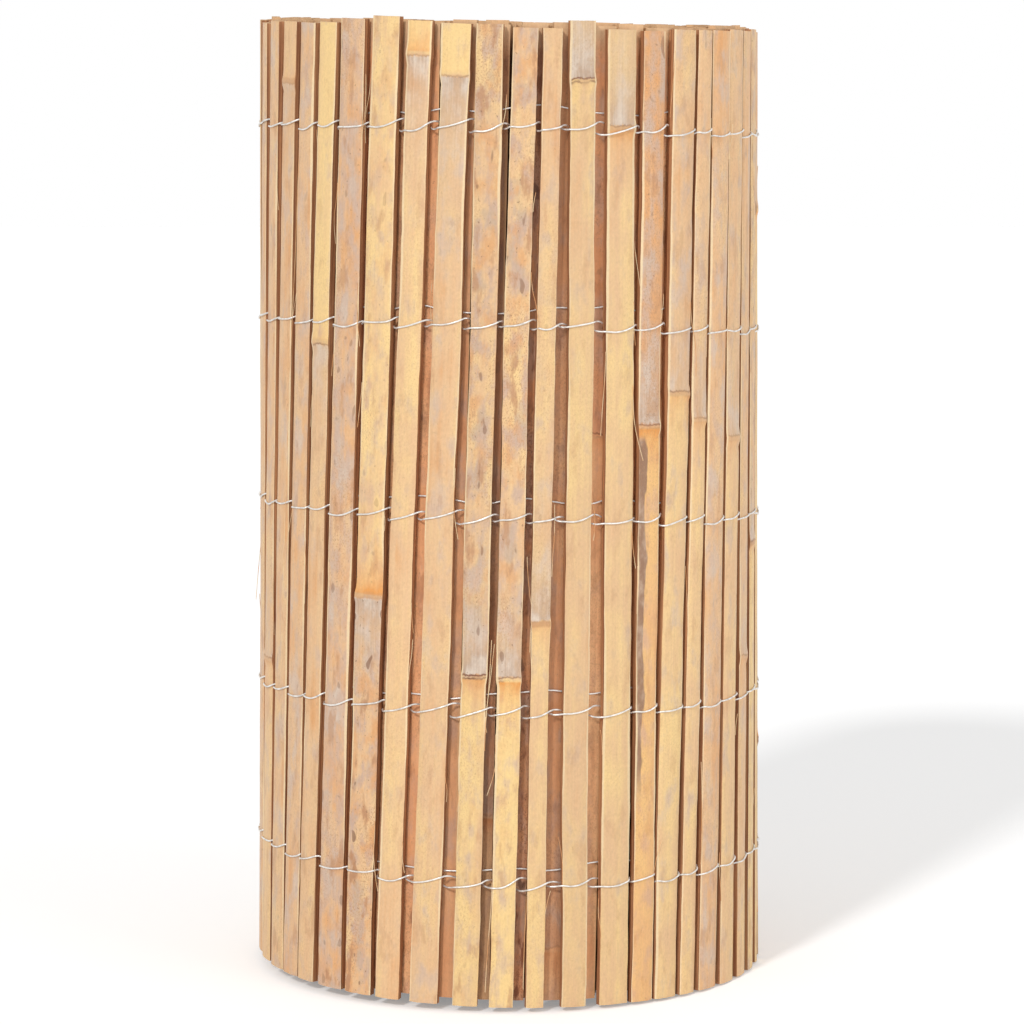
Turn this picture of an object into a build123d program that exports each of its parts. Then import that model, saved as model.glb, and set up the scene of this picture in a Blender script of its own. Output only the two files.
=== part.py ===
from build123d import *
from collections import namedtuple
from itertools import cycle
from math import asin, atan, cos, degrees, radians, sin, sqrt, tan
import os

# A split-bamboo fence rolled up and stood on its end. Millimetres, +Z up, front towards -Y, +X to the right.
# The origin is on the floor under the middle of the roll.

# Slats: each is a sector of a bamboo stem's wall, rind outwards.
slat_length = 500.0
slat_thickness = 4.2
slat_play = 3.0
stem_radius = 65.0
node_length = 8.0
node_height = 0.8

# The roll.
roll_radius = 136.5
core_radius = 46.0
facets_per_turn = 20
flare = 0.45
skew = 1.1
foot_clearance = 0.5

# Wires: rows of two strands, counted from the top.
wire_diameter = 1.0
wire_clearance = 0.2
strand_clearance = 0.4
top_row_drop = 48.0
row_spacing = 98.0
lowest_row = 40.0
row_strays = (0.0, -1.0, -1.0, -2.0, 7.0)

# The slats that face the front, from left to right: rind width, play in the gap to the next slat beyond the room
# that the wires need there, how far the head stands to the right of the foot, height of the bamboo node above the
# foot (None for no node), and how much shorter than the full length the slat was cut.
Slat = namedtuple("Slat", "width play lean node short")
first_front_angle = -80.0
front_slats = (
    Slat(15.0, 4.6, 17.0, None, 2.0),
    Slat(15.0, 3.4, 17.0, 164, 1.0),
    Slat(15.0, 2.8, 16.5, 468, 1.0),
    Slat(13.5, 0.9, 17.5, None, 1.5),
    Slat(12.5, 2.4, 19.5, 336, 1.0),
    Slat(16.0, 2.6, 17.0, None, -1.0),
    Slat(16.0, 2.7, 17.0, 208, -2.5),
    Slat(13.0, 4.5, 19.0, 484, -0.5),
    Slat(15.0, 4.2, 17.0, 474, 0.5),
    Slat(13.5, 3.6, 13.0, 171, 0.5),
    Slat(12.5, 3.3, 12.5, 170, 2.0),
    Slat(9.5, 5.2, 10.0, 199, 2.0),
    Slat(13.5, 5.5, 5.5, 472, -2.0),
    Slat(16.0, 2.2, 5.0, 449, 2.0),
    Slat(13.0, 2.5, 9.0, 298, 2.5),
    Slat(15.0, 1.1, 15.0, 314, 1.5),
    Slat(11.0, 1.0, 15.5, 300, 1.5),
    Slat(16.0, 0.8, 15.0, None, 1.5),
    Slat(16.0, 1.2, 14.5, 288, 1.0),
    Slat(13.0, 3.0, 13.0, 171, 1.5),
)

# Plainer slats go on round the back and share out what the front leaves of the turn.
# Their node heights and cut lengths come round in turn.
back_slat_count = 26
back_nodes = (230, 405, 118, 322, None, 276, 440)
back_shorts = (0.5, 2.0, 1.0, 0.0, 1.5)


def cup_depth(width):
    """How far a slat's edges lie behind the middle of its curved face."""
    return stem_radius - sqrt(stem_radius**2 - (width / 2) ** 2)


mid_height = slat_length / 2
flare_reach = mid_height * tan(radians(flare))
wire_room = wire_diameter + 2 * wire_clearance
widest_slat = max(slat.width for slat in front_slats)
slat_depth = slat_thickness + cup_depth(widest_slat)
turn_drop = slat_depth + wire_room
turn_pitch = slat_thickness + wire_room


def crown_radius(angle):
    """Radius of the outer turn at an angle from the front, in degrees, positive to the right."""
    return roll_radius - turn_drop * (180 - angle) / 360


def on_roll(angle, radius):
    """A point of the plan, at an angle from the front and a distance from the roll's pole."""
    return Vector(radius * sin(radians(angle)), -radius * cos(radians(angle)))


def skew_lift(angle):
    """How much higher the mat stands here than at the right side, because it was rolled a little askew."""
    return crown_radius(angle) * tan(radians(skew)) * (1 - sin(radians(angle)))


def arc_angle(length, angle):
    """The angle that a length along the outer turn takes up."""
    return degrees(length / crown_radius(angle))


def outer_turn():
    """The slats of the outer turn with their angles, from the left of the back round the front to the right."""
    placed = []
    angle = first_front_angle
    for slat, after in zip(front_slats, front_slats[1:] + (None,)):
        placed.append((angle, slat))
        if after:
            angle += arc_angle((slat.width + after.width) / 2 + wire_room + slat.play, angle)
    first, last = front_slats[0], front_slats[-1]
    plain_gap = wire_room + slat_play
    start = angle + arc_angle(last.width / 2 + wire_room + last.play, 180)
    stop = first_front_angle + 360 - arc_angle(first.width / 2, first_front_angle)
    pitch = (stop - start) / back_slat_count
    back_width = radians(pitch) * crown_radius(-180) - plain_gap
    nodes, shorts = cycle(back_nodes), cycle(back_shorts)
    for index in range(back_slat_count):
        angle = start + pitch * index + arc_angle(back_width / 2, 180)
        lean = last.lean + (first.lean - last.lean) * (index + 1) / (back_slat_count + 1)
        back_slat = Slat(back_width, slat_play, lean, next(nodes), next(shorts))
        placed.append((angle if angle <= 180 else angle - 360, back_slat))
    return sorted(placed, key=lambda item: item[0])


def cut_length(slat):
    return slat_length - slat.short


def foot_height(angle):
    return foot_clearance + skew_lift(angle)


def has_node(slat):
    """A stem that was cut off below its node has none."""
    return slat.node is not None and slat.node + node_length < cut_length(slat)


def slat_solid(angle, slat):
    """A sector of a stem wall with a raised node, leaned, flared and set on the outer turn."""
    length = cut_length(slat)
    inner, outer = stem_radius - slat_thickness, stem_radius
    node_ridge = []
    if has_node(slat):
        node_ridge = [
            (outer, slat.node - node_length / 2),
            (outer + node_height, slat.node),
            (outer, slat.node + node_length / 2),
        ]
    wall = Polyline((inner, 0), (outer, 0), *node_ridge, (outer, length), (inner, length), close=True)
    profile = Plane.XZ * make_face(wall)
    spread = degrees(2 * asin(slat.width / 2 / stem_radius))
    sector = Rot(Z=-spread / 2) * revolve(profile, Axis.Z, spread)
    standing = Pos(-stem_radius, 0, -length / 2) * sector
    leaned = Rot(Y=-flare) * Rot(X=-degrees(atan(slat.lean / slat_length))) * standing
    middle = foot_height(angle) + length / 2
    return Rot(Z=angle - 90) * Pos(X=crown_radius(angle), Z=middle) * leaned


def wall_radius(turned):
    """Outer radius of the inner turns, so many degrees on from the back of the outer turn."""
    under_outer = roll_radius - turn_drop - flare_reach
    first_turn = min(turned, 360)
    return under_outer - (turn_drop * first_turn + turn_pitch * (turned - first_turn)) / 360


def inner_turns(turn):
    """The rest of the mat, wound on inwards from the outer turn's end as one wall, with a gap between its turns."""
    end_angle, end_slat = turn[0]
    clear_of_end = (end_slat.width + abs(end_slat.lean)) / 2 + wire_room + end_slat.play
    turned = -180 - end_angle + arc_angle(clear_of_end, end_angle)
    outer_line, inner_line = [], []
    while wall_radius(turned) - slat_thickness > core_radius:
        outer_line.append(on_roll(180 - turned, wall_radius(turned)))
        inner_line.append(on_roll(180 - turned, wall_radius(turned) - slat_thickness))
        turned += 360 / facets_per_turn
    outline = Polyline(*outer_line, *reversed(inner_line), close=True)
    return extrude(make_face(outline), slat_length)


def strand_path(turn, height, front_first):
    """The plan of one strand, in front of every second slat and behind the others."""
    beside = wire_diameter / 2 + wire_clearance
    points = []
    for index, (angle, slat) in enumerate(turn):
        outward = on_roll(angle, 1)
        along = Vector(-outward.Y, outward.X)
        level = height + skew_lift(angle) - skew_lift(0)
        over_middle = level - foot_height(angle) - cut_length(slat) / 2
        radius = crown_radius(angle) - over_middle * tan(radians(flare))
        if (index % 2 == 0) == front_first:
            from_node = level - foot_height(angle) - (slat.node or 0)
            over_node = has_node(slat) and abs(from_node) < node_length / 2 + 2 * wire_diameter
            radius += beside + (node_height if over_node else 0)
        else:
            radius -= slat_thickness + cup_depth(slat.width) + beside
        shift = over_middle * slat.lean / slat_length
        reach = slat.width / 2 + beside
        for side in (shift - reach, shift + reach):
            points.append(outward * radius + along * side)
    return points


def mitred_band(points, width):
    """The outline of a bent strip of even width along a plan path."""
    headings = [(end - start).normalized() for start, end in zip(points, points[1:])]
    left, right = [], []
    for point, before, after in zip(points, headings[:1] + headings, headings + headings[-1:]):
        halfway = (before + after) / 2
        mitre = Vector(-halfway.Y, halfway.X) / halfway.length**2
        left.append(point + mitre * (width / 2))
        right.append(point - mitre * (width / 2))
    return make_face(Polyline(*left, *reversed(right), close=True))


def strand_solid(turn, height, front_first):
    """One strand of a row, tilted with the mat's skew."""
    band = mitred_band(strand_path(turn, height, front_first), wire_diameter)
    step = (wire_diameter + strand_clearance) / 2 * (1 if front_first else -1)
    flat = Pos(Z=step - wire_diameter / 2) * extrude(band, wire_diameter)
    return Pos(Z=height) * Rot(Y=skew) * flat


def row_heights():
    """Wire rows from the top down, as many as stand clear of the foot, each straying a little."""
    top_row = slat_length - top_row_drop
    count = int((top_row - lowest_row) // row_spacing) + 1
    return [top_row - row_spacing * row + stray for row, stray in zip(range(count), cycle(row_strays))]


turn = outer_turn()
nodes = {"inner_turns": inner_turns(turn)}
for number, (angle, slat) in enumerate(turn, 1):
    nodes[f"outer_slat_{number:02d}"] = slat_solid(angle, slat)
for row, height in enumerate(row_heights(), 1):
    nodes[f"wire_row_{row}_strand_a"] = strand_solid(turn, height, True)
    nodes[f"wire_row_{row}_strand_b"] = strand_solid(turn, height, False)

# A spiral's outline isn't centred on its pole, so the roll is moved over the origin.
middle = Compound(nodes.values()).bounding_box().center()
os.makedirs("parts", exist_ok=True)
for name, solid in nodes.items():
    export_step(Pos(-middle.X, -middle.Y) * solid, f"parts/{name}.step")
print(len(turn), "slats in the outer turn,", len(nodes), "nodes, pole at", -middle.X, -middle.Y)
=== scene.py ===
import bpy
import math
import random
from types import SimpleNamespace
from mathutils import Matrix, Vector


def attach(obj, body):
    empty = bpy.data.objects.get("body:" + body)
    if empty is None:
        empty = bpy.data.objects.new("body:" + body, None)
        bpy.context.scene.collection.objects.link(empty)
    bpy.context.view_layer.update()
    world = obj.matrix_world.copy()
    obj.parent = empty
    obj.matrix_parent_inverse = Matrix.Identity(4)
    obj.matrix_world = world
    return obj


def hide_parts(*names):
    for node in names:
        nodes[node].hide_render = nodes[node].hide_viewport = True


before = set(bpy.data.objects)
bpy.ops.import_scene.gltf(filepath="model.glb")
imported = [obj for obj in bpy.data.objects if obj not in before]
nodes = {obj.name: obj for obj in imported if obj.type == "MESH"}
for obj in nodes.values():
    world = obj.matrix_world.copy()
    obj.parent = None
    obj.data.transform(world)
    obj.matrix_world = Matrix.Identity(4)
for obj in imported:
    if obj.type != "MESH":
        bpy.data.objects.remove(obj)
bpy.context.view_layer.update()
scene = bpy.context.scene
scene.view_settings.view_transform = "Standard"
mm = 0.001
print("frame loaded:", len(nodes), "nodes")


def paint(red, green, blue):
    # a colour as a picture program shows it, 0 to 255, made linear
    parts = [value / 255 for value in (red, green, blue)]
    return tuple(p / 12.92 if p <= 0.04045 else ((p + 0.055) / 1.055) ** 2.4 for p in parts) + (1.0,)


class Field:
    # a socket of a shader or geometry tree that takes part in sums

    def __init__(self, tree, socket=None):
        self.tree = tree
        self.socket = socket

    def node(self, kind, settings=None, inputs=None, out=0):
        made = self.tree.nodes.new(kind)
        for name, value in (settings or {}).items():
            setattr(made, name, value)
        for name, value in (inputs or {}).items():
            if isinstance(value, Field):
                value.feed(made.inputs[name])
            else:
                made.inputs[name].default_value = value
        return Field(self.tree, made.outputs[out])

    def feed(self, socket):
        self.tree.links.new(self.socket, socket)

    def output(self, name):
        return Field(self.tree, self.socket.node.outputs[name])

    def maths(self, operation, *values):
        return self.node("ShaderNodeMath", {"operation": operation}, dict(enumerate(values)))

    def __add__(self, other):
        return self.maths("ADD", self, other)

    def __radd__(self, other):
        return self.maths("ADD", other, self)

    def __sub__(self, other):
        return self.maths("SUBTRACT", self, other)

    def __rsub__(self, other):
        return self.maths("SUBTRACT", other, self)

    def __mul__(self, other):
        return self.maths("MULTIPLY", self, other)

    def __rmul__(self, other):
        return self.maths("MULTIPLY", other, self)

    def __truediv__(self, other):
        return self.maths("DIVIDE", self, other)

    def __rtruediv__(self, other):
        return self.maths("DIVIDE", other, self)

    def __neg__(self):
        return self.maths("MULTIPLY", self, -1.0)

    def __abs__(self):
        return self.maths("ABSOLUTE", self)

    def __gt__(self, other):
        return self.maths("GREATER_THAN", self, other)

    def __lt__(self, other):
        return self.maths("LESS_THAN", self, other)

    def smooth(self, low, high):
        # 0 at low, 1 at high, eased between
        return self.node("ShaderNodeMapRange", {"interpolation_type": "SMOOTHSTEP"}, {0: self, 1: low, 2: high})

    def bell(self, middle, spread):
        # 1 at the middle, falling away on both sides
        away = (self - middle) / spread
        return self.maths("EXPONENT", -(away * away))

    def vector(self, x, y, z):
        return self.node("ShaderNodeCombineXYZ", None, {0: x, 1: y, 2: z})

    def parts(self):
        split = self.node("ShaderNodeSeparateXYZ", None, {0: self})
        return split, split.output("Y"), split.output("Z")

    def noise(self, vector, detail=2.0, rough=0.5):
        inputs = {"Vector": vector, "Scale": 1.0, "Detail": detail, "Roughness": rough}
        return self.node("ShaderNodeTexNoise", {"noise_dimensions": "3D"}, inputs)

    def blend(self, share, under, over):
        return self.node("ShaderNodeMix", {"data_type": "RGBA"}, {0: share, 6: under, 7: over}, 2)


def newMaterial(name):
    # a material, the starting point of its tree, and its shader
    material = bpy.data.materials.new(name)
    material.use_nodes = True
    return material, Field(material.node_tree), material.node_tree.nodes["Principled BSDF"]


def newTree(name, sockets):
    # a geometry tree with named inputs, and its starting point
    tree = bpy.data.node_groups.new(name, "GeometryNodeTree")
    for way in ("OUTPUT", "INPUT"):
        tree.interface.new_socket("Geometry", in_out=way, socket_type="NodeSocketGeometry")
    for kind, labels in sockets.items():
        for label in labels:
            tree.interface.new_socket(label, in_out="INPUT", socket_type="NodeSocket" + kind)
    return tree, Field(tree).node("NodeGroupInput")


def endTree(shape, material):
    # instances made real, the material set
    real = shape.node("GeometryNodeRealizeInstances", None, {0: shape})
    dressed = real.node("GeometryNodeSetMaterial", None, {"Geometry": real, "Material": material})
    dressed.feed(dressed.tree.nodes.new("NodeGroupOutput").inputs[0])


def keep(shape, name, value, kind="FLOAT", domain="POINT"):
    # a value stored on the shape under a name
    settings = {"data_type": kind, "domain": domain}
    return shape.node("GeometryNodeStoreNamedAttribute", settings, {0: shape, "Name": name, "Value": value})


def markFaces(block):
    # a slat's block stands upright with its rind towards -y: its split faces and its two ends
    facing = 0.5
    normal = block.node("GeometryNodeInputNormal").parts()
    block = keep(block, "cutFace", normal[1] > -facing, "FLOAT", "FACE")
    return keep(block, "endFace", abs(normal[2]) > facing, "FLOAT", "FACE")


def softened(shape):
    # smooth shading, apart from edges sharper than this angle in radians
    sharp = 0.7
    soft = shape.node("GeometryNodeInputMeshEdgeAngle") < sharp
    shape = shape.node("GeometryNodeSetShadeSmooth", {"domain": "EDGE"}, {0: shape, "Shade Smooth": soft})
    return shape.node("GeometryNodeSetShadeSmooth", {"domain": "FACE"}, {0: shape, "Shade Smooth": True})


def patternPlace(across, depth, along, seed):
    # where a slat's patterns are read, in metres: each seed reads them somewhere else
    acrossShift, alongShift, thickness = 0.61, 1.7, 4 * mm
    return along.vector(across + seed * acrossShift, depth * thickness, along + seed * alongShift)


def growTree(name, tree, values, data=None):
    # the tree's result as a plain mesh
    source = bpy.data.objects.new(name + "_source", data or bpy.data.meshes.new(name + "_source"))
    scene.collection.objects.link(source)
    modifier = source.modifiers.new(tree.name, "NODES")
    modifier.node_group = tree
    for item in tree.interface.items_tree:
        if item.in_out == "INPUT" and item.name in values:
            modifier[item.identifier] = values[item.name]
    bpy.context.view_layer.update()
    solid = source.evaluated_get(bpy.context.evaluated_depsgraph_get())
    mesh = bpy.data.meshes.new_from_object(solid)
    source.modifiers.remove(modifier)
    bpy.data.objects.remove(source)
    mesh.name = name
    return mesh


def putPiece(name, mesh, replaced):
    piece = bpy.data.objects.new(name, mesh)
    scene.collection.objects.link(piece)
    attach(piece, "root")
    if replaced:
        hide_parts(*replaced)


# Bamboo
bambooLook = {
    "straw": paint(247, 212, 148), "tan": paint(232, 191, 146), "orange": paint(226, 166, 110),
    "lilac": paint(206, 174, 152), "bloom": paint(222, 204, 186), "ash": paint(190, 164, 144),
    "amber": paint(232, 156, 78), "scar": paint(120, 70, 46), "ring": paint(204, 152, 106),
    # rim: pale straw with a painted highlight, where the rind's edges catch the light
    "speck": paint(132, 92, 66), "rim": paint(246, 220, 176), "split": paint(202, 146, 102),
    "splitDark": paint(150, 98, 66), "dirt": paint(192, 142, 104), "endGrain": paint(228, 188, 140),
    "strip": paint(142, 108, 88), "roughness": 0.52, "specular": 0.35, "bumpStrength": 0.4, "bumpDepth": 0.5 * mm,
}
# patterns: how fine across and along a slat, per metre, then their detail and roughness
bambooPatterns = {
    "own": (2, 0.3, 0, 0.6), "streak": (900, 9, 3, 0.6), "band": (330, 4, 2, 0.6), "drift": (45, 11, 2, 0.6),
    "clouds": (150, 75, 4, 0.55), "patches": (85, 40, 3, 0.5), "ruddy": (95, 52, 4, 0.6), "soil": (130, 44, 4, 0.6),
    "grain": (800, 520, 3, 0.6), "speckle": (1300, 900, 2, 0.6), "pits": (520, 430, 2, 0.6), "knots": (170, 80, 1, 0.6),
}
# layers of blotches and specks: pattern, where it sets in and where it is full, what scales it, how much, colour
rindLayers = (
    ("patches", 0.5, 0.64, "heavy", 0.65, "ash"), ("clouds", 0.44, 0.66, "mottle", 0.95, "lilac"),
    ("ruddy", 0.47, 0.67, "mottle", 0.75, "orange"), ("soil", 0.53, 0.66, "soiled", 1.0, "dirt"),
)
speckLayers = (
    ("speckle", 0.5, 0.64, "dotted", 1.0, "dirt"), ("pits", 0.63, 0.72, "pitted", 0.5, "speck"),
    ("knots", 0.68, 0.72, "mottle", 0.6, "speck"),
)
# marks at a bamboo node, as heights over it on the side with the bloom; pairs are from and to, or middle and spread
nodeMarks = {
    "clean": (2.0 * mm, -2.0 * mm), "ragged": 4.0 * mm, "bloomReach": 26.0 * mm, "bloomStart": (0.6 * mm, 2.0 * mm),
    "amberReach": 9.0 * mm, "amberStart": (-0.6 * mm, -2.0 * mm), "wave": 5.0 * mm, "fineWave": 1.5 * mm,
    "ringLow": (-2.8 * mm, -1.2 * mm), "ringHigh": (1.4 * mm, 0.4 * mm), "line": (0.9 * mm, 0.5 * mm),
    "strip": (-0.8 * mm, 0.7 * mm), "wornTop": (-4.0 * mm, -8.0 * mm), "wornFoot": (-200.0 * mm, -170.0 * mm),
}
# near the floor: how high the soil and the shade reach
footMarks = {"soil": 100.0 * mm, "shade": 240.0 * mm, "darkest": 0.955}


def bambooFields(start):
    # what is stored on a slat, the patterns drawn from it, and what scales them
    def stored(label, out):
        return start.node("ShaderNodeAttribute", {"attribute_name": label}, None, out)

    across, depth, along = stored("slatPlace", "Vector").parts()
    bloomSide, cleanSide, grey = stored("slatLook", "Vector").parts()
    mottle, bloom, tone = stored("slatMark", "Vector").parts()
    ring, line, amber = stored("slatRing", "Vector").parts()
    overNode = stored("slatNode", "Fac")
    tall = stored("slatHeight", "Fac")
    patterns = {}
    for name, (acrossScale, alongScale, detail, rough) in bambooPatterns.items():
        place = start.vector(across * acrossScale, depth * acrossScale, along * alongScale)
        patterns[name] = start.noise(place, detail, rough)
    clean = overNode.smooth(*nodeMarks["clean"])
    mottle = mottle * (1.0 - clean * 0.65)
    return SimpleNamespace(
        across=across, depth=depth, along=along, overNode=overNode, tall=tall, clean=clean,
        side=stored("slatAcross", "Fac"), cut=stored("cutFace", "Fac"), end=stored("endFace", "Fac"),
        stripe=stored("slatStripe", "Fac"), ring=ring, line=line, amber=amber, bloom=bloom, tone=tone,
        yellow=bloomSide + (cleanSide - bloomSide) * clean, grey=grey * (1.0 - clean * 0.5),
        mottle=mottle, heavy=mottle.smooth(0.5, 1.0), pitted=0.15 + mottle,
        soiled=0.2 + mottle * (0.6 + tall.smooth(footMarks["soil"], 0.0) * 0.6),
        dotted=patterns["drift"].smooth(0.44, 0.6) * (0.15 + mottle * 0.5), **patterns)


def layered(start, slat, look, base, layers):
    for pattern, low, high, scaledBy, weight, colour in layers:
        share = getattr(slat, pattern).smooth(low, high) * getattr(slat, scaledBy) * weight
        base = start.blend(share, base, look[colour])
    return base


def rindColour(start, slat, look):
    # straw, tan and orange in drifts, grey bloom in clouds, blotches
    yellow = slat.yellow + (slat.drift - 0.5) * 2.2 + (slat.patches - 0.5) * 1.4 + (slat.band - 0.5) * 0.9
    base = start.blend(yellow.smooth(-0.15, 0.95), look["tan"], look["straw"])
    base = start.blend(yellow.smooth(0.0, -0.9), base, look["orange"])
    greyed = slat.grey + (slat.patches - 0.5) * 2.0 + (slat.clouds - 0.5) * 1.6 + (slat.band - 0.5) * 0.8
    base = start.blend(greyed.smooth(0.1, 0.9) * 0.85, base, look["lilac"])
    frost = (slat.patches + (slat.clouds - 0.5) * 0.5).smooth(0.52, 0.68)
    base = start.blend(frost * slat.grey * 1.5, base, look["bloom"])
    return layered(start, slat, look, base, rindLayers)


def nodeColour(start, slat, look, base):
    # bloom on one side of a bamboo node, amber on the other
    ragged = slat.overNode + (slat.streak - 0.5) * nodeMarks["ragged"]
    reach = start.maths("MAXIMUM", ragged, 0.0) / nodeMarks["bloomReach"]
    waxy = start.maths("EXPONENT", -reach) * ragged.smooth(*nodeMarks["bloomStart"]) * slat.bloom
    waxy = start.maths("MINIMUM", waxy * (slat.patches * 1.8 + slat.clouds * 1.4 - 0.5), 0.92)
    frosted = (slat.patches * 0.4 + slat.clouds * 0.5 + slat.streak * 0.2 - 0.05).smooth(0.42, 0.6)
    base = start.blend(waxy, base, start.blend(frosted, look["ash"], look["bloom"]))
    reach = start.maths("MINIMUM", slat.overNode, 0.0) / nodeMarks["amberReach"]
    fresh = start.maths("EXPONENT", reach) * slat.overNode.smooth(*nodeMarks["amberStart"]) * slat.amber
    base = start.blend(start.maths("MINIMUM", fresh * (slat.clouds * 2.8 - 0.3), 0.9), base, look["amber"])
    # a pale brown ring round it, a dark line and a broken strip
    wavy = slat.overNode + (slat.clouds - 0.5) * nodeMarks["wave"] + (slat.grain - 0.5) * nodeMarks["fineWave"]
    ringed = wavy.smooth(*nodeMarks["ringLow"]) * wavy.smooth(*nodeMarks["ringHigh"]) * slat.ring
    base = start.blend(ringed, base, look["ring"])
    line = wavy.bell(*nodeMarks["line"]) * (slat.patches * 2.0 - 0.2) * slat.line
    base = start.blend(start.maths("MINIMUM", line, 0.85), base, look["scar"])
    strip = wavy.bell(*nodeMarks["strip"]) * (slat.patches * 5.0 - 2.0) * (slat.line - 0.5) * 1.6
    return start.blend(strip.smooth(0.0, 1.0), base, look["speck"])


def stripeColour(start, slat, look, base):
    # a weathered strip down one side of the clean part, on the slats that have one
    base = start.blend(slat.clean * slat.stripe * 0.35, base, look["amber"])
    edged = slat.side + (slat.patches - 0.5) * 1.6 + (slat.streak - 0.5) * 0.6
    reach = slat.overNode.smooth(*nodeMarks["wornTop"]) * slat.overNode.smooth(*nodeMarks["wornFoot"])
    worn = start.blend(slat.clouds.smooth(0.4, 0.65), look["strip"], look["ash"])
    return start.blend(edged.smooth(-0.3, -0.45) * reach * slat.stripe * 0.9, base, worn)


def edgeColour(start, slat, look, base):
    # pale rims, partly the paler straw of the split edges and partly a painted highlight where the edges catch the
    # light; fibrous split faces, bundles of fibre in the cut ends
    rims = start.noise(start.vector(slat.own * 40, (slat.side > 0.0) * 9.0, slat.along * 7), 2)
    base = start.blend((abs(slat.side) + (rims - 0.5) * 0.9).smooth(0.9, 1.0) * 0.85, base, look["rim"])
    fibrous = start.blend(slat.streak.smooth(0.35, 0.65), look["splitDark"], look["split"])
    base = start.blend(slat.cut, base, fibrous)
    bundles = start.noise(start.vector(slat.across * 1900, slat.depth * 1900, 0.0), 1)
    endGrain = start.blend(bundles.smooth(0.52, 0.62) * 0.6, look["endGrain"], look["splitDark"])
    return start.blend(slat.end, base, endGrain)


def bambooMaterial(name, look):
    material, start, shader = newMaterial(name)
    slat = bambooFields(start)
    base = rindColour(start, slat, look)
    base = nodeColour(start, slat, look, base)
    base = stripeColour(start, slat, look, base)
    base = layered(start, slat, look, base, speckLayers)
    base = edgeColour(start, slat, look, base)
    lit = footMarks["darkest"] + slat.tall.smooth(0.0, footMarks["shade"]) * (1 - footMarks["darkest"])
    shade = lit + (slat.grain - 0.5) * 0.3 + (slat.streak - 0.5) * 0.16
    tone = slat.tone
    if "head" in look:
        # painted light: the heads of the inner turns stand in the light, so there the inner look's painted shade is
        # taken off and the colour blended to pale straw
        head = slat.tall.smooth(*look["headBand"])
        base = start.blend(head * 0.85 * (1.0 - slat.end), base, look["head"])
        tone = tone + (1.0 - tone) * head
    tinted = start.node("ShaderNodeVectorMath", {"operation": "SCALE"}, {0: base, "Scale": shade * tone})
    rough = look["roughness"] + (slat.clouds - 0.5) * 0.3 + slat.cut * 0.2
    height = slat.streak * 0.5 + slat.grain * 0.4
    bump = start.node("ShaderNodeBump", None, {
        "Strength": look["bumpStrength"], "Distance": look["bumpDepth"], "Height": height})
    tinted.feed(shader.inputs["Base Color"])
    rough.feed(shader.inputs["Roughness"])
    bump.feed(shader.inputs["Normal"])
    shader.inputs["Specular IOR Level"].default_value = look["specular"]
    return material


bamboo = bambooMaterial("bambooRind", bambooLook)

# Outer slats
slatShape = {
    "acrossSteps": 9, "alongSteps": 181, "stemRadius": 65 * mm, "thicknessLoss": 0.1 * mm, "seed": 11,
    "edgeRound": 0.5 * mm, "edgeFrom": 0.78, "edgeWander": 0.5 * mm, "edgeWaves": 60, "waist": 0.9 * mm,
    "waistWaves": 13, "bow": 1.1 * mm, "bowWaves": 5, "ripple": 0.5 * mm, "rippleWaves": 24,
    "kink": 0.5 * mm, "kinkReach": 4.0 * mm, "nodeSwell": 0.7 * mm, "nodeSpread": 3.2 * mm, "neckShare": 0.35,
    "neckPlace": -5.0 * mm, "neckSpread": 1.8 * mm, "narrower": 0.012, "narrowReach": 6.0 * mm,
    "raggedEnd": 0.7 * mm, "endFrom": 0.497, "fray": 0.62, "seedStep": 1.37, "seedStart": 0.5,
    "striped": ("outer_slat_27", "outer_slat_06", "outer_slat_40"),
}
# the looks of a slat by name; slats at the back draw theirs between these
backLooks = {
    "bloomSide": (-0.3, 0.5), "cleanSide": (0.0, 0.8), "grey": (0.0, 0.5), "mottle": (0.1, 0.8), "bloom": (0.2, 0.9),
    "bloomUp": (1, 1, -1), "tone": (0.95, 1.02), "ring": (0.0, 0.8), "line": (0.1, 1.0), "amber": (0.1, 1.0),
}
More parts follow.
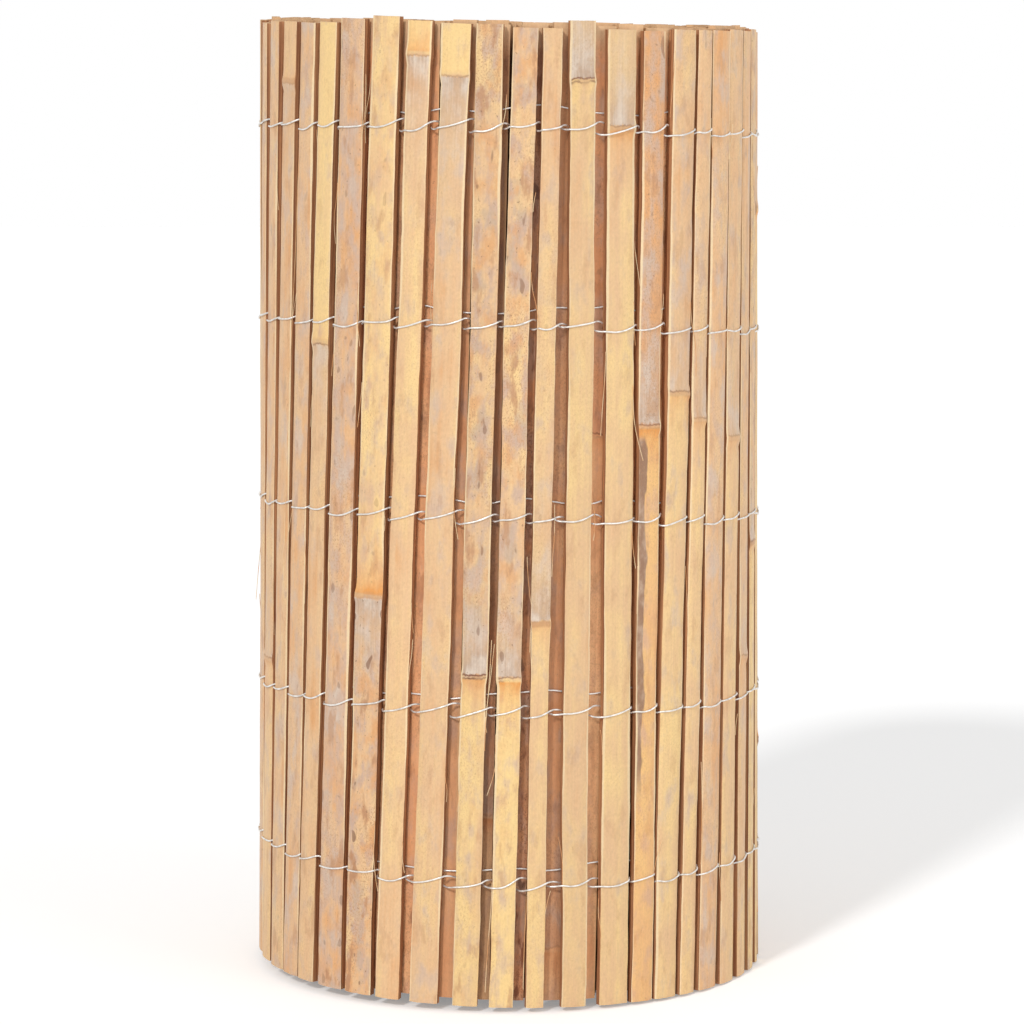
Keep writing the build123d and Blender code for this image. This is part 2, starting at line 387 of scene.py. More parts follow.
# slats that face the front, in the same order: how yellow on the bloom side and on the clean side of the node
# (below 0 is orange), how grey, how mottled, how much bloom, 1 for bloom above the node or -1 below it, overall tone,
# and then the node's own marks: its pale brown ring, its dark line, the amber beside it
slatLooks = {
    "outer_slat_13": (0.0, 0.0, 0.25, 0.4, 0.3, 1, 1.02, 0.3, 0.5, 0.3),
    "outer_slat_14": (0.1, 0.2, 0.25, 0.4, 0.3, 1, 1.02, 0.3, 0.5, 0.3),
    "outer_slat_15": (0.0, 0.1, 0.2, 0.3, 0.4, -1, 1.01, 0.6, 0.3, 0.2),
    "outer_slat_16": (-0.15, -0.15, 0.35, 0.25, 0.0, 1, 1.02, 0.3, 0.5, 0.3),
    "outer_slat_17": (0.0, 0.75, 0.1, 0.2, 0.5, -1, 1.01, 0.3, 0.6, 0.2),
    "outer_slat_18": (-0.1, -0.1, 0.6, 0.7, 0.0, 1, 1.04, 0.3, 0.5, 0.3),
    "outer_slat_19": (0.0, 0.6, 0.15, 1.2, 0.9, -1, 1.025, 0.5, 0.1, 1.0),
    "outer_slat_20": (0.15, 0.8, 0.0, 0.12, 0.8, -1, 1.03, 0.2, 0.4, 0.6),
    "outer_slat_21": (0.05, 0.95, 0.15, 0.15, 0.9, -1, 0.99, 0.1, 0.6, 0.1),
    "outer_slat_22": (0.2, 0.65, 0.2, 0.9, 1.1, 1, 0.955, 0.1, 1.0, 0.6),
    "outer_slat_23": (0.2, 1.1, 0.2, 0.95, 1.0, 1, 0.99, 0.0, 0.85, 1.0),
    "outer_slat_24": (0.15, 0.4, 0.1, 0.25, 0.9, 1, 0.965, 0.8, 0.15, 0.3),
    "outer_slat_25": (0.15, 0.3, 0.1, 0.2, 1.1, 1, 0.92, 0.2, 0.9, 0.1),
    "outer_slat_26": (0.3, 0.35, 0.05, 0.1, 0.9, 1, 0.935, 0.5, 0.6, 0.7),
    "outer_slat_27": (-0.9, 0.6, 0.45, 0.8, 1.0, 1, 1.0, 0.3, 0.9, 1.0),
    "outer_slat_28": (0.05, 0.45, 0.25, 0.2, 0.4, 1, 0.98, 0.5, 0.6, 0.5),
    "outer_slat_29": (0.0, 0.25, 0.15, 0.3, 0.6, 1, 1.02, 0.3, 0.6, 0.4),
    "outer_slat_30": (-0.2, -0.2, 0.3, 0.3, 0.0, 1, 1.05, 0.3, 0.5, 0.3),
    "outer_slat_31": (0.05, 0.2, 0.2, 0.25, 0.5, 1, 1.04, 0.4, 0.4, 0.3),
    "outer_slat_32": (0.0, 0.1, 0.25, 0.25, 0.5, 1, 1.03, 0.3, 0.5, 0.3),
}


def slatTree():
    tree, start = newTree("bambooSlat", {
        "Float": (
            "Length", "Width", "Thickness", "Stem radius", "Node", "Edge round", "Edge wander", "Waist", "Bow",
            "Node swell", "Ragged end", "Stripe", "Bloom side", "Kink", "Seed"),
        "Vector": ("Look", "Mark", "Ring"), "Int": ("Across steps", "Along steps"), "Material": ("Material",),
    })
    wanted = start.output
    block = start.node("GeometryNodeMeshCube", None, {
        "Size": (2, 2, 1), "Vertices X": wanted("Across steps"), "Vertices Y": 3, "Vertices Z": wanted("Along steps")})
    a, b, c = start.node("GeometryNodeInputPosition").parts()
    seed = wanted("Seed")
    width = wanted("Width")
    across = a * (1.5 - 0.5 * a * a)  # steps crowd towards the edges
    depth = (b + 1.0) * 0.5  # 0 on the rind, 1 on the inner face
    along = (c + 0.5) * wanted("Length")
    overNode = along - wanted("Node")

    def waver(name, second, third, detail, rough=0.5):
        # a random line along the slat, to both sides of 0; odd factors of the seed keep these apart
        place = start.vector(along * slatShape[name + "Waves"], second, third)
        return start.noise(place, detail, rough) - 0.5

    neck = overNode.bell(slatShape["neckPlace"], slatShape["neckSpread"])
    swell = overNode.bell(0.0, slatShape["nodeSpread"]) - slatShape["neckShare"] * neck
    rightward = (a > 0.0) * 2.0 - 1.0
    rag = waver("edge", seed * 7.3, rightward * 5 + depth, 4, 0.6)
    bow = waver("bow", seed * 3.1, 2.0, 1)
    waist = waver("waist", seed * 4.7, rightward * 3, 2)
    ripple = waver("ripple", across * 1.5, seed * 5.7, 2)
    belowNode = 1.0 - overNode.smooth(-slatShape["narrowReach"], 0.0)
    halfWidth = width * (0.5 - slatShape["narrower"] * belowNode) + waist * wanted("Waist") * 2
    x = across * (halfWidth + rag * wanted("Edge wander") * 2 + swell * wanted("Node swell") * 0.5)
    kinked = overNode.smooth(-slatShape["kinkReach"], slatShape["kinkReach"])
    x = x + bow * wanted("Bow") * 2 + kinked * wanted("Kink")
    edgeDrop = abs(across).smooth(slatShape["edgeFrom"], 1.0) * wanted("Edge round") * (1.0 - depth)
    y = across * across * width * width * 0.125 / wanted("Stem radius")  # the stem's own curve
    y = y + depth * wanted("Thickness") + edgeDrop - swell * wanted("Node swell") * (1.0 - depth)
    y = y + ripple * slatShape["ripple"]
    endward = abs(c).smooth(slatShape["endFrom"], 0.5) * ((c > 0.0) * 2.0 - 1.0)
    frayed = start.noise(start.vector(across * 6, depth * 3, seed * 11.9 + c * 4), 3) - slatShape["fray"]
    z = along + frayed * wanted("Ragged end") * endward

    # these are read before the block is bent, so they are stored from its own corners
    stored = keep(block, "slatPlace", patternPlace(across * width * 0.5, depth, along, seed), "FLOAT_VECTOR")
    for name, value in (("slatLook", "Look"), ("slatMark", "Mark"), ("slatRing", "Ring")):
        stored = keep(stored, name, wanted(value), "FLOAT_VECTOR")
    stored = keep(stored, "slatAcross", across)
    stored = keep(stored, "slatNode", overNode * wanted("Bloom side"))
    stored = keep(stored, "slatStripe", wanted("Stripe"))
    stored = markFaces(keep(stored, "slatHeight", along))
    moved = start.node("GeometryNodeSetPosition", None, {0: stored, "Position": start.vector(x, y, z)})
    endTree(softened(moved), wanted("Material"))
    return tree


def slatFrame(node):
    # where a CAD slat stands: its foot, its right-hand and inward directions, its sizes and its bamboo node
    endBand, ridgeRise = 5 * mm, 0.4 * mm
    points = [vertex.co for vertex in node.data.vertices]
    low = min(p.z for p in points)
    high = max(p.z for p in points)
    foot = [p for p in points if p.z < low + endBand]
    head = [p for p in points if p.z > high - endBand]

    def middle(group):
        return sum(group, Vector()) / len(group)

    up = (middle(head) - middle(foot)).normalized()
    outward = Vector((*middle(foot + head).xy, 0))
    roughRight = up.cross(outward).normalized()

    def crown(group):
        # the top of an end's curve, the line between its edges, and how deep it goes behind that line
        left = min(group, key=roughRight.dot)
        right = max(group, key=roughRight.dot)
        chord = (left + right) / 2
        out = up.cross(right - left).normalized() * -1
        rise = max(out.dot(p - chord) for p in group)
        return chord + out * rise, right - left, -min(out.dot(p - chord) for p in group)

    footCrown, chord, thickness = crown(foot)
    headCrown = crown(head)[0]
    up = (headCrown - footCrown).normalized()
    right = (chord - up * chord.dot(up)).normalized()
    inward = up.cross(right)
    ridge = [up.dot(p - footCrown) for p in points if inward.dot(p - footCrown) < -ridgeRise]
    return {
        "foot": footCrown, "up": up, "right": right, "inward": inward,
        "length": (headCrown - footCrown).length, "width": chord.length, "thickness": thickness,
        "node": sum(ridge) / len(ridge) if ridge else None,
    }


def backLook(dice):
    return [
        dice.choice(spread) if name == "bloomUp" else dice.uniform(*spread) for name, spread in backLooks.items()]


slats = {name: slatFrame(node) for name, node in sorted(nodes.items()) if name.startswith("outer_slat_")}
outerTree = slatTree()
dice = random.Random(slatShape["seed"])
for index, (name, slat) in enumerate(slats.items()):
    look = dict(zip(backLooks, slatLooks.get(name) or backLook(dice)))
    pieceName = "slat" + name[-2:]
    mesh = growTree(pieceName, outerTree, {
        "Length": slat["length"], "Width": slat["width"], "Thickness": slat["thickness"] - slatShape["thicknessLoss"],
        "Stem radius": slatShape["stemRadius"], "Node": slat["node"] or -1.0, "Edge round": slatShape["edgeRound"],
        "Edge wander": slatShape["edgeWander"], "Waist": slatShape["waist"], "Bow": slatShape["bow"],
        "Node swell": slatShape["nodeSwell"], "Ragged end": slatShape["raggedEnd"],
        "Look": (look["bloomSide"], look["cleanSide"], look["grey"]),
        "Mark": (look["mottle"], look["bloom"], look["tone"]), "Ring": (look["ring"], look["line"], look["amber"]),
        "Stripe": 1.0 if name in slatShape["striped"] else 0.0, "Bloom side": float(look["bloomUp"]),
        "Kink": dice.uniform(-1, 1) * slatShape["kink"],
        "Seed": index * slatShape["seedStep"] + slatShape["seedStart"],
        "Across steps": slatShape["acrossSteps"], "Along steps": slatShape["alongSteps"], "Material": bamboo,
    })
    axes = Matrix((slat["right"], slat["inward"], slat["up"])).transposed().to_4x4()
    mesh.transform(Matrix.Translation(slat["foot"]) @ axes)
    putPiece(pieceName, mesh, [name])
print("outer slats:", len(slats))

# Inner turns
innerShape = {
    "pole": (-1.40 * mm, -1.35 * mm), "startRadius": 128.3 * mm, "startTurn": 14.0, "pitch": 5.62 * mm,
    "coreRadius": 50.0 * mm, "flare": 0.45, "flareReach": 1.96 * mm, "lean": 0.024, "leanSpread": 0.012,
    "width": 13.4 * mm, "widthSpread": 2.4 * mm, "gap": 4.4 * mm, "thickness": 4.0 * mm, "cup": 0.42,
    "length": 499.0 * mm, "foot": 3.2 * mm, "lengthSpread": 3.0 * mm, "skew": 1.1, "shade": 0.45, "seed": 4,
}
# what differs from slat to slat: which random row it draws from, the least and the most
innerChances = {
    "lean": (1, -1.0, 1.0), "width": (2, -1.0, 1.0), "length": (3, 0.0, 1.0), "bloomSide": (4, -0.4, 0.6),
    "cleanSide": (5, -0.2, 0.8), "grey": (6, 0.0, 0.5), "seed": (7, 0.0, 60.0), "node": (8, -0.2, 0.7),
    "mottle": (9, 0.2, 1.2), "bloom": (10, 0.0, 0.8), "tone": (11, 0.66, 1.22), "ring": (12, 0.0, 0.8),
    "line": (13, 0.1, 1.0), "amber": (14, 0.1, 1.0),
}
# painted shade: the inner turns, seen in the gaps and at the top, take the bamboo look painted darker and browner;
# their dirt and specks are real stains, painted darker with the rest
innerLook = dict(
    bambooLook, straw=paint(236, 184, 134), tan=paint(224, 160, 112), orange=paint(214, 140, 92),
    lilac=paint(204, 156, 126), bloom=paint(206, 168, 142), amber=paint(214, 136, 78), rim=paint(226, 174, 124),
    split=paint(200, 142, 96), splitDark=paint(146, 94, 62), dirt=paint(146, 90, 60), ash=paint(180, 140, 116),
    speck=paint(96, 60, 44), head=paint(232, 194, 150), headBand=(481.0 * mm, 497.0 * mm), roughness=0.6,
)
innerBamboo = bambooMaterial("bambooInner", innerLook)


def innerTree():
    tree, start = newTree("innerTurns", {
        "Float": (
            "Pitch", "Step", "Start radius", "Start turn", "Core radius", "Width", "Width spread", "Thickness",
            "Length", "Length spread", "Foot", "Flare", "Skew", "Lean", "Lean spread"),
        "Vector": ("Pole",), "Int": ("Count", "Seed"), "Material": ("Material",),
    })
    wanted = start.output
    index = start.node("GeometryNodeInputIndex")

    def chance(name):
        row, least, most = innerChances[name]
        inputs = {2: least, 3: most, 7: index, 8: wanted("Seed") + row}
        return start.node("FunctionNodeRandomValue", {"data_type": "FLOAT"}, inputs, 1)

    # the mat's length so far gives the radius, because its turns lie a pitch apart
    startRadius, pitch = wanted("Start radius"), wanted("Pitch")
    run = (index + 0.5) * wanted("Step")
    radius = start.maths("SQRT", startRadius * startRadius - run * pitch / math.pi)
    turned = (startRadius - radius) * 2 * math.pi / pitch + wanted("Start turn")
    angle = math.pi - turned
    rightward = start.maths("SINE", angle)
    spot = start.vector(radius * rightward, -(radius * start.maths("COSINE", angle)), 0.0)
    points = start.node("GeometryNodePoints", None, {"Count": wanted("Count"), "Position": spot})

    # one slat as a block of unit size, cupped like a piece of stem
    block = start.node("GeometryNodeMeshCube", None, {
        "Size": (1, 1, 1), "Vertices X": 5, "Vertices Y": 2, "Vertices Z": 4})
    a, b, c = start.node("GeometryNodeInputPosition").parts()
    stored = markFaces(keep(block, "blockPlace", start.vector(a, b, c), "FLOAT_VECTOR"))
    cupped = start.vector(a, b + 0.5 + a * a * innerShape["cup"], c)
    shaped = start.node("GeometryNodeSetPosition", None, {0: stored, "Position": cupped})

    lean = wanted("Lean") + chance("lean") * wanted("Lean spread")
    turn = start.node("FunctionNodeEulerToRotation", None, {0: start.vector(0.0, 0.0, angle)})
    tip = start.node("FunctionNodeEulerToRotation", None, {0: start.vector(-wanted("Flare"), lean, 0.0)})
    rotation = start.node("FunctionNodeRotateRotation", {"rotation_space": "LOCAL"}, {0: turn, 1: tip})
    tall = wanted("Length") - chance("length") * wanted("Length spread")
    size = start.vector(wanted("Width") + chance("width") * wanted("Width spread"), wanted("Thickness"), tall)
    placed = start.node("GeometryNodeInstanceOnPoints", None, {
        0: points, "Instance": shaped, "Rotation": rotation, "Scale": size})
    lift = radius * wanted("Skew") * (1.0 - rightward)
    raised = start.vector(0.0, 0.0, tall * 0.5 + wanted("Foot") + lift)
    for way in (raised, wanted("Pole")):
        placed = start.node("GeometryNodeTranslateInstances", None, {
            0: placed, "Translation": way, "Local Space": False})

    # painted shade: turns that lie behind the second one are painted darker, apart from those round the open core
    coreRadius = wanted("Core radius")
    deep = (turned - wanted("Start turn")).smooth(2 * math.pi - 0.1, 2 * math.pi + 0.1)
    deep = deep * radius.smooth(coreRadius, coreRadius + pitch * 2)
    tone = chance("tone") * (1.0 - deep * innerShape["shade"])
    looks = {
        "slatLook": start.vector(chance("bloomSide"), chance("cleanSide"), chance("grey")),
        "slatMark": start.vector(chance("mottle"), chance("bloom"), tone),
        "slatRing": start.vector(chance("ring"), chance("line"), chance("amber")),
    }
    for name, value in looks.items():
        placed = keep(placed, name, value, "FLOAT_VECTOR", "INSTANCE")
    placed = keep(placed, "slatSeed", chance("seed"), "FLOAT", "INSTANCE")
    placed = keep(placed, "nodeHeight", chance("node"), "FLOAT", "INSTANCE")
    real = start.node("GeometryNodeRealizeInstances", None, {0: placed})

    def kept(name, kind="FLOAT"):
        return start.node("GeometryNodeInputNamedAttribute", {"data_type": kind}, {"Name": name})

    # pattern places in metres, from the block's own corners
    across, depth, share = kept("blockPlace", "FLOAT_VECTOR").parts()
    along = (share + 0.5) * wanted("Length")
    place = patternPlace(across * wanted("Width"), depth, along, kept("slatSeed"))
    real = keep(real, "slatPlace", place, "FLOAT_VECTOR")
    real = keep(real, "slatAcross", across * 2.0)
    real = keep(real, "slatNode", along - kept("nodeHeight"))
    real = keep(real, "slatHeight", along)
    endTree(softened(real), wanted("Material"))
    return tree


step = innerShape["width"] + innerShape["gap"]
matLength = math.pi * (innerShape["startRadius"] ** 2 - innerShape["coreRadius"] ** 2) / innerShape["pitch"]
innerCount = int(matLength / step)
secondRadius = innerShape["startRadius"] + innerShape["flareReach"]
innerMesh = growTree("innerTurns", innerTree(), {
    "Count": innerCount, "Pitch": innerShape["pitch"], "Step": step, "Start radius": secondRadius,
    "Start turn": math.radians(innerShape["startTurn"]), "Width": innerShape["width"],
    "Width spread": innerShape["widthSpread"], "Thickness": innerShape["thickness"], "Length": innerShape["length"],
    "Length spread": innerShape["lengthSpread"], "Foot": innerShape["foot"],
    "Flare": math.radians(innerShape["flare"]), "Skew": math.tan(math.radians(innerShape["skew"])),
    "Lean": innerShape["lean"], "Lean spread": innerShape["leanSpread"],
    "Pole": (*innerShape["pole"], 0.0), "Core radius": innerShape["coreRadius"], "Seed": innerShape["seed"],
    "Material": innerBamboo,
})
putPiece("innerTurns", innerMesh, ["inner_turns"])
print("inner turns:", innerCount, "slats")

# Wires
# wander: how far each row, from the top, hangs off its line at the left and at the right of the roll, in mm
wireShape = {
    "diameter": 0.94 * mm, "sides": 8, "lift": 0.08 * mm, "rise": 1.5 * mm, "riseSpread": 0.9 * mm, "sideRise": 0.45,
    "sag": 1.0 * mm, "sagSpread": 0.9 * mm, "twistRadius": 0.7 * mm, "twistEase": 2.2, "gapSteps": 6, "seed": 23,
    "resolution": 3, "shares": (-0.92, -0.45, 0.0, 0.45, 0.92), "nodeReach": 5 * mm,
    "tailStart": 1.0 * mm, "tailLength": 6.5 * mm, "tailSteps": 15, "tailTurns": 1.75,
    "wander": ((-3.1, -4.7), (-5.7, -8.5), (-3.1, -8.0), (-2.6, -3.1), (3.1, -0.5)), "reach": 136.0 * mm,
}
wireLook = {"bright": paint(246, 243, 238), "dull": paint(206, 200, 193), "roughness": 0.36, "metallic": 0.4}


def wireMaterial(look):
    material, start, shader = newMaterial("galvanisedWire")
    x, y, z = start.node("ShaderNodeTexCoord", None, None, "Object").parts()
    bloom = start.noise(start.vector(x * 300, y * 300, z * 900), 3, 0.6)
    tint = start.blend(bloom.smooth(0.35, 0.7), look["bright"], look["dull"])
    rough = look["roughness"] + (bloom - 0.5) * 0.3
    tint.feed(shader.inputs["Base Color"])
    rough.feed(shader.inputs["Roughness"])
    shader.inputs["Metallic"].default_value = look["metallic"]
    return material


def tubeAlong(path, sides, radius):
    ring = path.node("GeometryNodeCurvePrimitiveCircle", None, {"Resolution": sides, "Radius": radius})
    return path.node("GeometryNodeCurveToMesh", None, {0: path, "Profile Curve": ring, "Fill Caps": True})


def wireTree():
    tree, start = newTree("twinedWire", {"Float": ("Radius",), "Int": ("Sides",), "Material": ("Material",)})
    wanted = start.output
    tube = tubeAlong(wanted("Geometry"), wanted("Sides"), wanted("Radius"))
    smoothed = start.node("GeometryNodeSetShadeSmooth", {"domain": "FACE"}, {0: tube, "Shade Smooth": True})
    endTree(smoothed, wanted("Material"))
    return tree


def rowNumber(name):
    return int(name.split("_")[2])


def rowLevel(name):
    # height of a wire row at a place across the roll, from the CAD strand and the row's wander
    points = [vertex.co for vertex in nodes[name].data.vertices]
    first = min(points, key=lambda p: p.x)
    last = max(points, key=lambda p: p.x)
    slope = (last.z - first.z) / (last.x - first.x)
    left, right = wireShape["wander"][rowNumber(name) - 1]

    def level(x):
        share = x / wireShape["reach"]
        return first.z + slope * (x - first.x) + (left if x < 0 else right) * mm * share * share

    return level


def rowCrossings(name, dice):
    # where a row meets each slat, and how its wires lie there
    level = rowLevel(name)
    crossings = []
    for slat in slats.values():
        guess = slat["foot"] + slat["up"] * slat["length"] * 0.5
        reach = (level(guess.x) - slat["foot"].z) / slat["up"].z
        half = slat["width"] / 2
        onNode = slat["node"] and abs(reach - slat["node"]) < wireShape["nodeReach"]
        rise = wireShape["rise"] + dice.uniform(-1, 1) * wireShape["riseSpread"]
        rise *= 1 - wireShape["sideRise"] * (guess.x / wireShape["reach"]) ** 2
        sag = wireShape["sag"] + dice.uniform(-1, 1) * wireShape["sagSpread"]
        crossings.append(SimpleNamespace(
            slat=slat, crown=slat["foot"] + slat["up"] * reach, half=half, rise=rise, sag=sag,
            cup=half * half / 2 / slatShape["stemRadius"], bump=slatShape["nodeSwell"] if onNode else 0.0))
    return crossings


def upright(height):
    return Vector((0, 0, height))


def slatPoints(here, front, thick):
    # across one slat, in front of it or behind it
    slat = here.slat
    deep = -(thick + here.bump) if front else slat["thickness"] + thick
    rise = here.rise if front else -here.rise
    for share in wireShape["shares"]:
        droop = here.sag * (share * share - 1) if front else 0.0
        inward = slat["inward"] * (deep + here.cup * share * share)
        yield here.crown + slat["right"] * here.half * share + inward + upright(rise * share + droop)


def gapPoints(here, after, front, thick):
    # through the gap to the next slat, half a turn round the other strand
    twist = wireShape["twistRadius"]
    start = here.crown + here.slat["right"] * here.half + upright(here.rise if front else -here.rise)
    stop = after.crown - after.slat["right"] * after.half - upright(-after.rise if front else after.rise)
    middleDepth = here.slat["thickness"] / 2 + here.cup
    inward = (here.slat["inward"] + after.slat["inward"]).normalized()
    for number in range(1, wireShape["gapSteps"]):
        share = number / wireShape["gapSteps"]
        phase = math.pi * share + (0 if front else math.pi)
        ends = abs(2 * share - 1) ** wireShape["twistEase"]
        radius = twist + (middleDepth + thick - twist) * ends
        centre = start.lerp(stop, share) + inward * middleDepth
        yield centre - inward * radius * math.cos(phase) + upright(twist * math.sin(phase))


def tailPoints(here, front):
    # past the mat's free edge the two strands are twisted together
    slat = here.slat
    edge = here.crown + slat["right"] * here.half + slat["inward"] * (slat["thickness"] / 2 + here.cup)
    for number in range(wireShape["tailSteps"]):
        share = number / (wireShape["tailSteps"] - 1)
        phase = 2 * math.pi * wireShape["tailTurns"] * share + (0 if front else math.pi)
        spoke = slat["up"] * math.sin(phase) - slat["inward"] * math.cos(phase)
        run = wireShape["tailStart"] + wireShape["tailLength"] * share
        yield edge + slat["right"] * run + spoke * wireShape["twistRadius"]


def strandPoints(name, frontFirst, dice):
    thick = wireShape["diameter"] / 2 + wireShape["lift"]
    crossings = rowCrossings(name, dice)
    path = []
    for number, here in enumerate(crossings):
        front = (number % 2 == 0) == frontFirst
        path.extend(slatPoints(here, front, thick))
        if here is crossings[-1]:
            path.extend(tailPoints(here, front))
        else:
            path.extend(gapPoints(here, crossings[number + 1], front, thick))
    return path


def smoothCurve(name, lines, resolution, radii=None):
    curve = bpy.data.curves.new(name, "CURVE")
    curve.dimensions = "3D"
    curve.resolution_u = resolution
    for number, line in enumerate(lines):
        spline = curve.splines.new("NURBS")
        spline.points.add(len(line) - 1)
        for knot, place in zip(spline.points, line):
            knot.co = (*place, 1.0)
            knot.radius = radii[number] if radii else 1.0
        spline.order_u = 3
        spline.use_endpoint_u = True
    return curve


galvanised = wireMaterial(wireLook)
twineTree = wireTree()
wireNodes = sorted(name for name in nodes if name.startswith("wire_row_"))
for name in wireNodes:
    points = strandPoints(name, name.endswith("a"), random.Random(wireShape["seed"] + rowNumber(name)))
    curve = smoothCurve(name, [points], wireShape["resolution"])
    pieceName = name.replace("wire_row_", "wire").replace("_strand_", "")
    mesh = growTree(pieceName, twineTree, {
        "Radius": wireShape["diameter"] / 2, "Sides": wireShape["sides"], "Material": galvanised}, curve)
    putPiece(pieceName, mesh, [name])
print("wires:", len(wireNodes))

# Wires of the turn behind, seen through the gaps
behindShape = {
    "above": 7.5 * mm, "tilt": 2.5 * mm, "off": 1.1 * mm, "steps": 46, "waver": 3.2 * mm, "late": 0.12, "seed": 5,
    "rows": (1, 2, 3, 4, 5), "sides": 6, "resolution": 4,
}


def behindPoints(row, dice):
    level = rowLevel("wire_row_%d_strand_a" % row)
    slant = math.tan(math.radians(innerShape["flare"]))
    poleX, poleY = innerShape["pole"]
    points = []
    for number in range(behindShape["steps"]):
        turned = behindShape["late"] + 2 * math.pi * number / behindShape["steps"]
        angle = math.pi - turned - math.radians(innerShape["startTurn"])
        radius = secondRadius - innerShape["pitch"] * turned / (2 * math.pi) + behindShape["off"]
        share = math.sin(angle)
        height = level(poleX + radius * share) + behindShape["above"] + behindShape["tilt"] * share
        height += dice.uniform(-1, 1) * behindShape["waver"]
        radius -= (height - innerShape["length"] / 2) * slant
        points.append(Vector((poleX + radius * share, poleY - radius * math.cos(angle), height)))
    return points


dice = random.Random(behindShape["seed"])
behindLines = [behindPoints(row, dice) for row in behindShape["rows"]]
behindCurve = smoothCurve("innerWires", behindLines, behindShape["resolution"])
mesh = growTree("innerWires", twineTree, {
    "Radius": wireShape["diameter"] / 2, "Sides": behindShape["sides"], "Material": galvanised}, behindCurve)
putPiece("innerWires", mesh, [])
print("inner wires:", len(behindLines))

# Loose fibres along the split edges, and a few long splinters that hang on by one end:
# slat, side, height of the root and length upwards in mm, how far it stands off, thickness
fibreShape = {
    "count": 150, "shortest": 6 * mm, "longest": 34 * mm, "radius": 0.16 * mm, "curl": 0.17, "bend": 0.1, "seed": 31,
    "lowest": 0.06, "highest": 0.93, "overFloor": 5 * mm, "pressed": -0.05, "taper": 0.75, "sides": 4, "resolution": 4,
    "rootAside": 0.49, "rootDepth": 0.8 * mm, "rootLength": 0.3, "splinterLift": 0.02, "splinterBend": 0.012,
    "splinters": (
        ("outer_slat_22", 1, 146, 44, 0.05, 2.0), ("outer_slat_22", 1, 152, 36, 0.1, 1.5),
        ("outer_slat_23", -1, 52, -44, 0.05, 1.7), ("outer_slat_24", -1, 60, -50, 0.03, 1.6),
        ("outer_slat_16", -1, 412, -235, 0.004, 2.6), ("outer_slat_28", -1, 480, -26, 0.12, 2.0),
        ("outer_slat_05", 1, 210, 60, 0.05, 1.8), ("outer_slat_38", -1, 330, -80, 0.03, 2.0),
    ),
}
fibreLook = {"pale": bambooLook["rim"], "dark": bambooLook["orange"], "roughness": 0.45}


def fibrePoints(slat, side, along, run, aside, lifted, bend):
    edge = slat["right"] * side * slat["width"] * fibreShape["rootAside"]
    root = slat["foot"] + slat["up"] * along + edge + slat["inward"] * fibreShape["rootDepth"]
    away = slat["right"] * side * aside - slat["inward"] * lifted
    stop = root + slat["up"] * run + away * abs(run)
    below = root - slat["up"] * run * fibreShape["rootLength"]
    return [below, root, root.lerp(stop, 0.5) + slat["right"] * bend * run, stop]


def looseFibre(dice):
    slat = dice.choice(list(slats.values()))
    side = dice.choice((-1, 1))
    along = dice.uniform(fibreShape["lowest"], fibreShape["highest"]) * slat["length"]
    run = dice.uniform(fibreShape["shortest"], fibreShape["longest"]) * dice.choice((-1, 1))
    if not fibreShape["overFloor"] < along + run < slat["length"]:
        run = -run
    aside = dice.uniform(0.0, fibreShape["curl"])
    lifted = dice.uniform(fibreShape["pressed"], fibreShape["curl"] * 0.5)
    return fibrePoints(slat, side, along, run, aside, lifted, dice.uniform(-fibreShape["bend"], fibreShape["bend"]))


def fibreTree():
    tree, start = newTree("looseFibres", {"Float": ("Radius",), "Material": ("Material",)})
    wanted = start.output
    share = start.node("GeometryNodeSplineParameter")
    taper = start.node("GeometryNodeInputRadius") * (1.0 - share * fibreShape["taper"])
    thinned = start.node("GeometryNodeSetCurveRadius", None, {0: wanted("Geometry"), "Radius": taper})
    endTree(tubeAlong(thinned, fibreShape["sides"], wanted("Radius")), wanted("Material"))
    return tree


def fibreMaterial(look):
    material, start, shader = newMaterial("bambooFibre")
    x, y, z = start.node("ShaderNodeTexCoord", None, None, "Object").parts()
    patchy = start.noise(start.vector(x * 120, y * 120, z * 60), 2)
    start.blend(patchy.smooth(0.4, 0.6), look["pale"], look["dark"]).feed(shader.inputs["Base Color"])
    (look["roughness"] + patchy * 0.3).feed(shader.inputs["Roughness"])
    return material


dice = random.Random(fibreShape["seed"])
fibreLines = [looseFibre(dice) for number in range(fibreShape["count"])]
fibreRadii = [1.0] * fibreShape["count"]
for slatName, side, along, run, aside, thick in fibreShape["splinters"]:
    fibreLines.append(fibrePoints(
        slats[slatName], side, along * mm, run * mm, aside, fibreShape["splinterLift"], fibreShape["splinterBend"]))
    fibreRadii.append(thick)
fibreCurve = smoothCurve("fibres", fibreLines, fibreShape["resolution"], fibreRadii)
mesh = growTree("fibres", fibreTree(), {
    "Radius": fibreShape["radius"], "Material": fibreMaterial(fibreLook)}, fibreCurve)
putPiece("fibres", mesh, [])
print("fibres and splinters:", len(fibreLines))

# Floor, light and camera
studio = {
    "floorReach": 8.0, "floorTint": (0.97, 0.97, 0.97, 1.0), "floorRoughness": 0.9, "floorGlow": 0.27,
    "worldLevel": 0.54, "keyPlace": (-1.35, -2.65, 2.3), "keyLevel": 1.3, "keySpread": 7.0,
    "fillPlace": (2.4, -2.0, 0.9), "fillAcross": 1.8, "fillLevel": 22.0, "aim": (0.0, 0.0, 0.25),
    "cameraPlace": (0.00174, -2.115, 0.500), "cameraTilt": 6.957, "lens": 139.1, "sensor": 36.0,
}


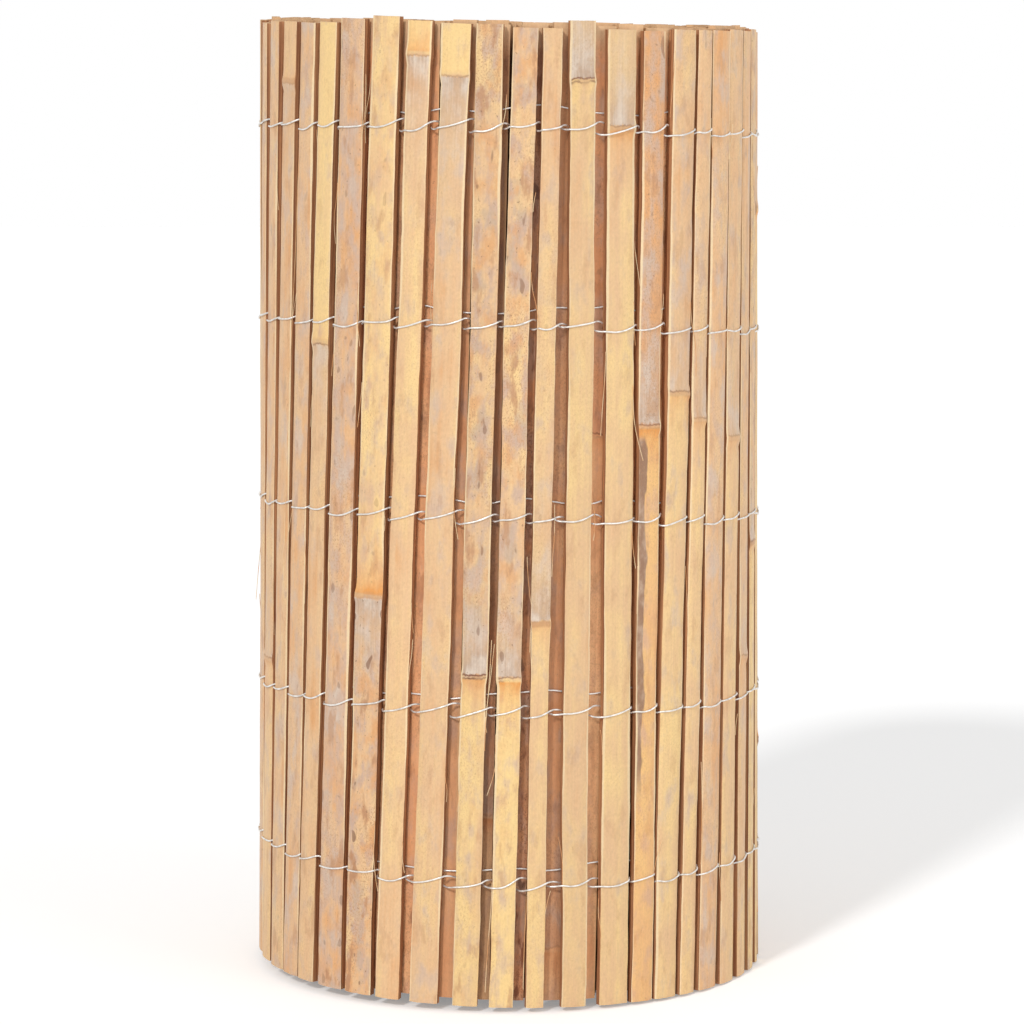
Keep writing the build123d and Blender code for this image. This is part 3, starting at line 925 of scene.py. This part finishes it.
def seenRays(tree):
    # 1 where the camera looks, also through glass or in a reflection
    rays = Field(tree).node("ShaderNodeLightPath", None, None, "Is Camera Ray")
    shown = rays.maths("MAXIMUM", rays, rays.output("Is Glossy Ray"))
    return shown.maths("MAXIMUM", shown, rays.output("Is Transmission Ray"))


floorMesh = bpy.data.meshes.new("floor")
far = studio["floorReach"]
floorMesh.from_pydata([(-far, -far, 0), (far, -far, 0), (far, far, 0), (-far, far, 0)], [], [(0, 1, 2, 3)])
floor = bpy.data.objects.new("floor", floorMesh)
scene.collection.objects.link(floor)
floorMaterial, floorStart, floorShader = newMaterial("paleFloor")
floorShader.inputs["Base Color"].default_value = studio["floorTint"]
floorShader.inputs["Roughness"].default_value = studio["floorRoughness"]
floorShader.inputs["Specular IOR Level"].default_value = 0.0
floorShader.inputs["Emission Strength"].default_value = 1.0
glow = (*[studio["floorGlow"]] * 3, 1.0)
floorStart.blend(seenRays(floorStart.tree), (0, 0, 0, 1), glow).feed(floorShader.inputs["Emission Color"])
floorMesh.materials.append(floorMaterial)

world = bpy.data.worlds.new("studioWorld")
scene.world = world
world.use_nodes = True
sky = world.node_tree.nodes["Background"]
sky.inputs["Color"].default_value = (1, 1, 1, 1)
skyLevel = seenRays(world.node_tree) * (1 - studio["worldLevel"]) + studio["worldLevel"]
skyLevel.feed(sky.inputs["Strength"])

for lampName, lampKind in (("key", "SUN"), ("fill", "AREA")):
    lampData = bpy.data.lights.new(lampName + "Light", lampKind)
    lampData.energy = studio[lampName + "Level"]
    if lampKind == "SUN":
        lampData.angle = math.radians(studio["keySpread"])
    else:
        lampData.size = studio["fillAcross"]
    lamp = bpy.data.objects.new(lampName + "Light", lampData)
    lamp.location = studio[lampName + "Place"]
    lamp.rotation_euler = (Vector(studio["aim"]) - lamp.location).to_track_quat("-Z", "Y").to_euler()
    scene.collection.objects.link(lamp)

cameraData = bpy.data.cameras.new("camera")
cameraData.lens = studio["lens"]
cameraData.sensor_width = studio["sensor"]
camera = bpy.data.objects.new("camera", cameraData)
camera.location = studio["cameraPlace"]
camera.rotation_euler = (math.radians(90 - studio["cameraTilt"]), 0, 0)
scene.collection.objects.link(camera)
scene.camera = camera
print("stage set")
